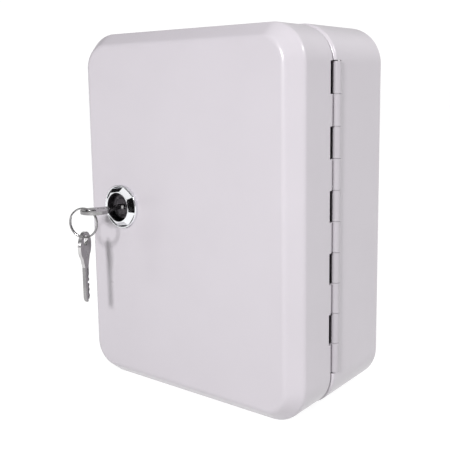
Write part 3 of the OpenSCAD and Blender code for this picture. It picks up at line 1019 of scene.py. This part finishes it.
def key_outline():
    """A round bow that tapers into a flat blade with a pointed tip."""
    start = Vector((BOW_R, -BOW_R + 0.35))
    end = Vector((TAPER_END, -BLADE_HALF))
    along = (end - start).normalized()
    from_centre = start - Vector((BOW_R, 0))
    b = from_centre.dot(along)
    leave = start + along * (-b + math.sqrt(b * b - from_centre.length_squared + BOW_R * BOW_R))
    angle = math.degrees(math.atan2(leave.y, leave.x - BOW_R))
    outline = arc(BOW_R, 0, BOW_R, -angle, 360 + angle, 72)
    outline += [(TAPER_END, -BLADE_HALF), (KEY_LEN - TIP_LEN, -BLADE_HALF),
                (KEY_LEN, -0.9), (KEY_LEN, 0.5), (KEY_LEN - TIP_LEN, BLADE_HALF)]
    for at, depth in CUTS[::-1]:
        bottom = BLADE_HALF - depth
        outline += [(at + 1.2, BLADE_HALF), (at + 0.4, bottom), (at - 0.4, bottom), (at - 1.2, BLADE_HALF)]
    return outline + [(TAPER_END, BLADE_HALF)]


def flat_key(name):
    """Key along x from its bow's tip, with milled grooves, a stamped bow and rounded edges."""
    half = KEY_T / 2
    piece = prism(name, key_outline(), [circle(BOW_HOLE_AT, 0, BOW_HOLE_R, 48)], -half, half)
    cutters = []
    for side in (1, -1):
        y = side * 0.8
        low, high = sorted((side * (half - 0.4), side * (half + 1)))
        cutters.append(block(TAPER_END + 1, y - 0.5, low, KEY_LEN + 1, y + 0.5, high))
        low, high = sorted((side * (half - 0.12), side * (half + 1)))
        cutters.append(prism("dimple", circle(12.4, 0, 2.1, 40), [], low, high))
    combine(piece, cutters)
    return soften(piece, 0.2, 3)


def key_in_lock():
    """Key in the plug, lying flat, with its bow to the front."""
    piece = flat_key("lock_key")
    turned(piece, Matrix.Translation((lock_x, lock_y, bow_tip)),
           Matrix.Rotation(math.radians(90), 4, "Y"), Matrix.Rotation(math.radians(90), 4, "X"))
    place(piece, "key", NICKEL, "key_nickel", "key_in_lock")


def rub_bow(piece, lowest):
    """Painted highlight: lighter nickel on the rim of a hanging key's bow, above one height in millimetres.
    """
    flat = max(piece.data.polygons, key=lambda face: face.area).normal.copy()
    piece.data.materials.append(LIT_RIM_NICKEL)
    for face in piece.data.polygons:
        if abs(face.normal.dot(flat)) < 0.5 and face.center.z * 1000 > lowest:
            face.material_index = 1


def spare_key():
    """Key that hangs from the ring by the hole in its bow."""
    piece = flat_key("hanging_key")
    turned(piece, Matrix.Translation((ring_centre.x, spare_high.y, ring_centre.z)),
           Matrix.Rotation(math.radians(90 + RING_TURN + SPARE_TWIST), 4, "Y"),
           Matrix.Rotation(math.radians(-90), 4, "Z"))
    rub_bow(place(piece, "spare", NICKEL, "key_nickel", "spare_key"), spare_high.y - TAPER_END)


def split_ring():
    """Two turns of flat wire side by side, with the crossing where the wire steps over."""
    middle_r = RING_R - WIRE_T / 2
    turn_w = WIRE_W / 2 - 0.03
    shift = WIRE_W / 4
    wire_start = 160.0
    step_start = 318.0
    step_len = 38.0
    wire_turn = 360.0 + step_start - 4
    stations = 168
    section = rounded_rect(-WIRE_T / 2, -turn_w / 2, WIRE_T / 2, turn_w / 2, 0.28, 4)
    bm = bmesh.new()
    rows = []
    for k in range(stations + 1):
        angle = wire_turn * k / stations
        t = min(1.0, max(0.0, (angle - step_start) / step_len))
        lift = shift * (2 * t * t * (3 - 2 * t) - 1)
        a = math.radians(wire_start + angle)
        ring = []
        for r, z in section:
            ring.append(bm.verts.new(((middle_r + r) * math.cos(a), (middle_r + r) * math.sin(a), z + lift)))
        rows.append(ring)
    count = len(section)
    for ring, following in zip(rows, rows[1:]):
        for i in range(count):
            j = (i + 1) % count
            bm.faces.new((ring[i], ring[j], following[j], following[i]))
    bm.faces.new(rows[0][::-1])
    bm.faces.new(rows[-1])
    piece = piece_from(bm, "split_ring")
    turned(piece, Matrix.Translation(ring_centre), Matrix.Rotation(math.radians(RING_TURN), 4, "Y"))
    place(piece, "ring", NICKEL, "key_nickel", "key_ring")


body_pan()
door_pan()
hinge()
lock_head()
lock_linings()
lock_thread()
fasteners()
plug()
wafers()
cam_stack()
catch()
for bar_row in range(4):
    hook_bar(bar_row)
rivets()
strips()
index()
key_in_lock()
split_ring()
spare_key()


# ---- Studio ----


# Brighter and darker patches of the surround: direction (right, up, forward), the half angles of
# the patch's outer edge and of its full part in degrees, and the factor on the light there. Where
# patches overlap, their factors multiply.
SURROUND = [
    ((0.86, 0.0, -0.57), 75, 20, 3.85),
    ((-0.6, 0.15, -0.8), 68, 20, 3.0),
    ((0.78, 0.57, -0.22), 8, 4, 8.0),
    ((0.1, 1.0, -0.1), 50, 15, 2.7),
    ((0.04, 0.885, 0.466), 18, 13, 2.6),
    ((0.76, 0.10, 0.65), 19, 14, 0.03),
    ((-0.83, 0.56, -0.04), 30, 22, 0.03),
]
SURROUND_LEVEL = 0.19
BACKDROP_SEEN = 1.05

# Softboxes: azimuth and elevation in degrees, distance and side in metres, power in watts
LIGHTS = [
    ("front_box", 16, 20, 1.2, 0.15, 13.0),
    ("right_box", 97, 34, 1.0, 0.10, 2.3),
]

# The floor's glow as it is seen, and as it lights the cabinet
FLOOR_SEEN = 0.84
FLOOR_LIT = 0.28


def surround():
    """Dim surround with the patches above, and plain white where it is looked at straight."""
    world = bpy.data.worlds.new("surround")
    world.use_nodes = True
    tree = world.node_tree
    background = tree.nodes["Background"]
    where = tree.nodes.new("ShaderNodeTexCoord").outputs["Generated"]
    level = None
    for direction, outer, inner, factor in SURROUND:
        right, up, forward = Vector(direction).normalized()
        dot = tree.nodes.new("ShaderNodeVectorMath")
        dot.operation = "DOT_PRODUCT"
        dot.inputs[1].default_value = (right, -forward, up)
        tree.links.new(where, dot.inputs[0])
        fade = tree.nodes.new("ShaderNodeMapRange")
        fade.interpolation_type = "SMOOTHSTEP"
        fade.inputs["From Min"].default_value = math.cos(math.radians(outer))
        fade.inputs["From Max"].default_value = math.cos(math.radians(inner))
        fade.inputs["To Min"].default_value = 1.0
        fade.inputs["To Max"].default_value = factor
        tree.links.new(dot.outputs["Value"], fade.inputs["Value"])
        both = tree.nodes.new("ShaderNodeMath")
        both.operation = "MULTIPLY"
        both.inputs[0].default_value = SURROUND_LEVEL
        if level is not None:
            tree.links.new(level, both.inputs[0])
        tree.links.new(fade.outputs["Result"], both.inputs[1])
        level = both.outputs["Value"]
    seen = tree.nodes.new("ShaderNodeLightPath").outputs["Is Camera Ray"]
    pick = tree.nodes.new("ShaderNodeMix")
    pick.inputs["B"].default_value = BACKDROP_SEEN
    tree.links.new(seen, pick.inputs["Factor"])
    tree.links.new(level, pick.inputs["A"])
    tree.links.new(pick.outputs["Result"], background.inputs["Strength"])
    background.inputs["Color"].default_value = (1.0, 1.0, 1.0, 1.0)
    bpy.context.scene.world = world


def studio():
    """White floor, the surround and the softboxes."""
    scene = bpy.context.scene
    scene.view_settings.view_transform = "Standard"
    surround()
    half = 40.0
    floor_z = cad_low.z - 0.0005
    bm = bmesh.new()
    corners = ((-half, -half), (half, -half), (half, half), (-half, half))
    bm.faces.new([bm.verts.new((x, y, floor_z)) for x, y in corners])
    floor = piece_from(bm, "floor")
    n = Nodes("floor_white", (0.3, 0.3, 0.3), 0.8, Specular_IOR_Level=0.1)
    n.shader.inputs["Emission Color"].default_value = (1, 1, 1, 1)
    lighting = n.tree.nodes.new("ShaderNodeLightPath").outputs["Is Diffuse Ray"]
    n.link(n.ranged(lighting, FLOOR_SEEN, FLOOR_LIT, 0, 1), n.shader.inputs["Emission Strength"])
    floor.data.materials.append(n.material)

    for name, azimuth, elevation, distance, size, power in LIGHTS:
        light = bpy.data.lights.new(name, "AREA")
        light.shape = "SQUARE"
        light.size = size
        light.energy = power
        lamp = bpy.data.objects.new(name, light)
        a = math.radians(azimuth)
        e = math.radians(elevation)
        toward = Vector((math.sin(a) * math.cos(e), -math.cos(a) * math.cos(e), math.sin(e)))
        lamp.location = Vector((0, -0.06, 0)) + toward * distance
        lamp.rotation_euler = toward.to_track_quat("Z", "Y").to_euler()
        scene.collection.objects.link(lamp)


def camera():
    """Camera at the photograph's angle: round the cabinet's middle, slightly above and to the right."""
    azimuth = math.radians(38.13)
    elevation = math.radians(8.43)
    roll = math.radians(-0.83)
    distance = 0.4148
    across = -0.00174
    up_by = 0.00853
    back = Vector((math.sin(azimuth) * math.cos(elevation), -math.cos(azimuth) * math.cos(elevation),
                   math.sin(elevation)))
    right = (-back).cross(Vector((0, 0, 1))).normalized()
    up = right.cross(-back)
    right, up = (right * math.cos(roll) + up * math.sin(roll),
                 up * math.cos(roll) - right * math.sin(roll))
    data = bpy.data.cameras.new("camera")
    data.sensor_width = 36.0
    data.lens = 57.73
    data.shift_y = -0.07
    data.clip_start = 0.01
    data.clip_end = 100.0
    eye = bpy.data.objects.new("camera", data)
    turn = Matrix((right, up, back)).transposed().to_4x4()
    middle = Vector((0, -face_z / 2000, 0))
    eye.matrix_world = Matrix.Translation(middle + back * distance + right * across + up * up_by) @ turn
    bpy.context.scene.collection.objects.link(eye)
    bpy.context.scene.camera = eye


studio()
camera()
